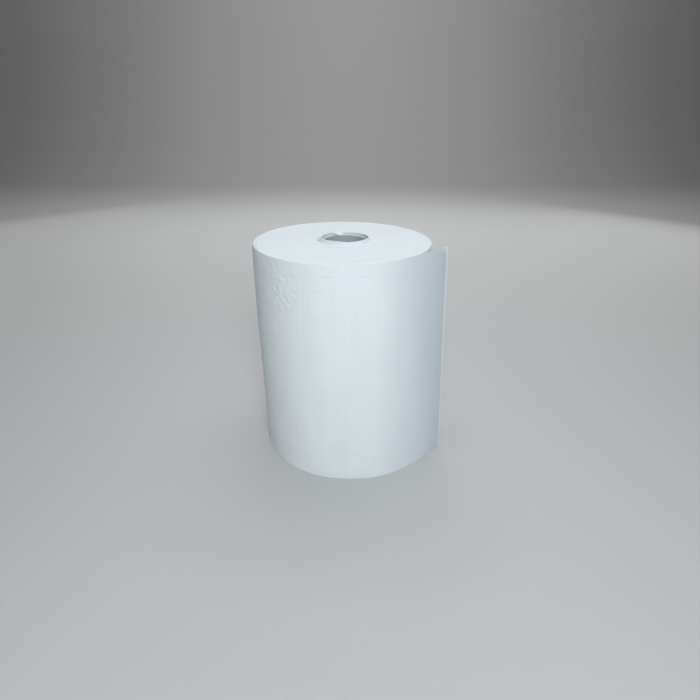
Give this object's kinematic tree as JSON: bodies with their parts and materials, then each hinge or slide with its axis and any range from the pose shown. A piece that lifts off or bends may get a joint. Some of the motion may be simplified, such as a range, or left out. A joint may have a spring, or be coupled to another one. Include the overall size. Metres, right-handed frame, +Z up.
{
  "type": "paper towel roll",
  "caption": "Hard-wound roll of white paper towelling on an open paperboard core, with slightly raised inner turns and a loose flared free end.",
  "frame": {"origin": "on the core's axis, in the plane of the lower end face that the roll stands on", "axes": "+Z up along the core's axis; the front of the roll faces -Y, and the free end points to the right, +X"},
  "size_m": [0.1775, 0.1594, 0.2053],
  "materials": {
    "towel_paper": "matt, faintly creped",
    "core_board": "matt grey paperboard"
  },
  "bodies": {
    "root": {"towel_web": "towel_paper", "core_tube": "core_board"}
  },
  "joints": []
}
